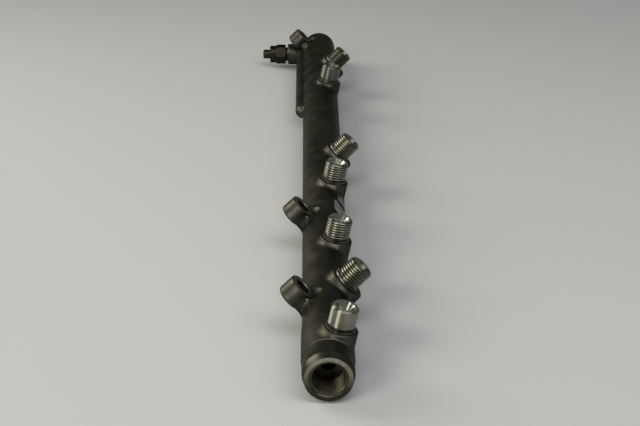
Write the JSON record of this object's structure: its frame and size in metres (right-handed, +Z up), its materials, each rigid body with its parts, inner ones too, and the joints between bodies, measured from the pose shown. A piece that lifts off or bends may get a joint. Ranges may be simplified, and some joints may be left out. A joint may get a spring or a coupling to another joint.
{
  "type": "common rail",
  "caption": "Forged diesel fuel rail: a long tube with threaded line nipples, round bolt lugs, an end port for a sensor and a screwed-in relief valve at the far end.",
  "frame": {"origin": "centre of the sensor port's outer face, on the main bore's axis", "axes": "+Y along the main bore from the sensor port to the closed far end; +Z up, within 12 degrees of the steep nipples, as the rail is shown; +X to the right seen from the sensor port, away from the relief valve"},
  "size_m": [0.0699, 0.538, 0.041],
  "materials": {
    "rail_body": "dark oiled forging with bright machined nipples",
    "relief_valve": "dark oxide, satin"
  },
  "bodies": {
    "root": {"rail_body": "rail_body", "relief_valve": "relief_valve"}
  },
  "joints": []
}
